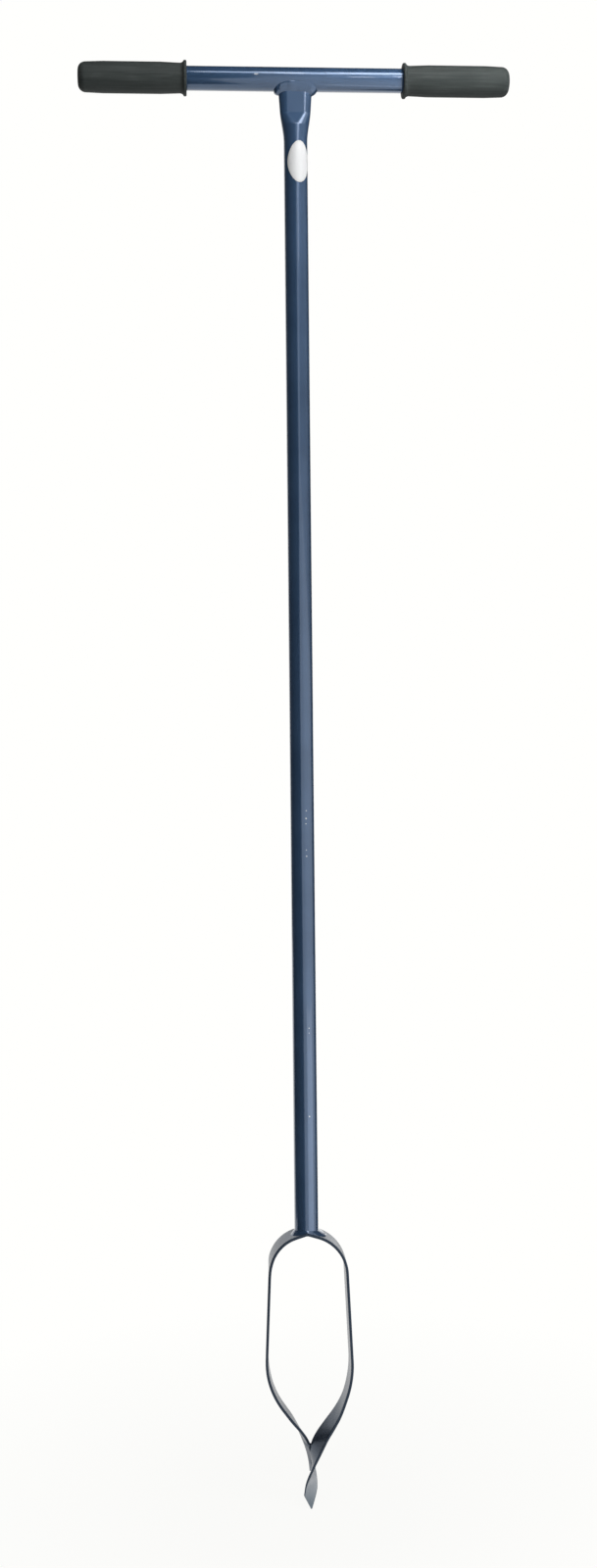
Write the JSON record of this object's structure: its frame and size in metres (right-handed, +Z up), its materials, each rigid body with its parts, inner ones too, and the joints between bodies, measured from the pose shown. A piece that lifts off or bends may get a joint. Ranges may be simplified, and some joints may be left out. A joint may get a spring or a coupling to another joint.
{
  "type": "hand earth auger",
  "caption": "T-handled hand earth auger: long round shaft, rubber grips, and an open loop of bent strip blades that meet and twist into a right-hand point for digging narrow holes.",
  "frame": {"origin": "on the shaft's axis, level with the point of the blades, at the bottom of the tool", "axes": "+Z up along the shaft to the crossbar, +X along the crossbar to the grip on the right in the front view, +Y away from the labelled front"},
  "size_m": [0.453, 0.0364, 1.5182],
  "materials": {
    "navy_paint": "glossy navy enamel on steel tube, small chips",
    "blade_paint": "satin navy enamel on strip steel, worn thin along the edges",
    "grip_rubber": "matte charcoal rubber with faint lengthwise streaks",
    "label_vinyl": "blank white vinyl with a thin keyline"
  },
  "bodies": {
    "root": {"crossbar_tube": "navy_paint", "shaft_tube": "navy_paint", "right_blade": "blade_paint", "left_blade": "blade_paint", "crossbar_weld": "navy_paint", "foot_weld": "navy_paint", "crown_seam_weld": "blade_paint", "point_weld": "blade_paint", "right_grip": "grip_rubber", "left_grip": "grip_rubber", "oval_label": "label_vinyl"}
  },
  "joints": []
}
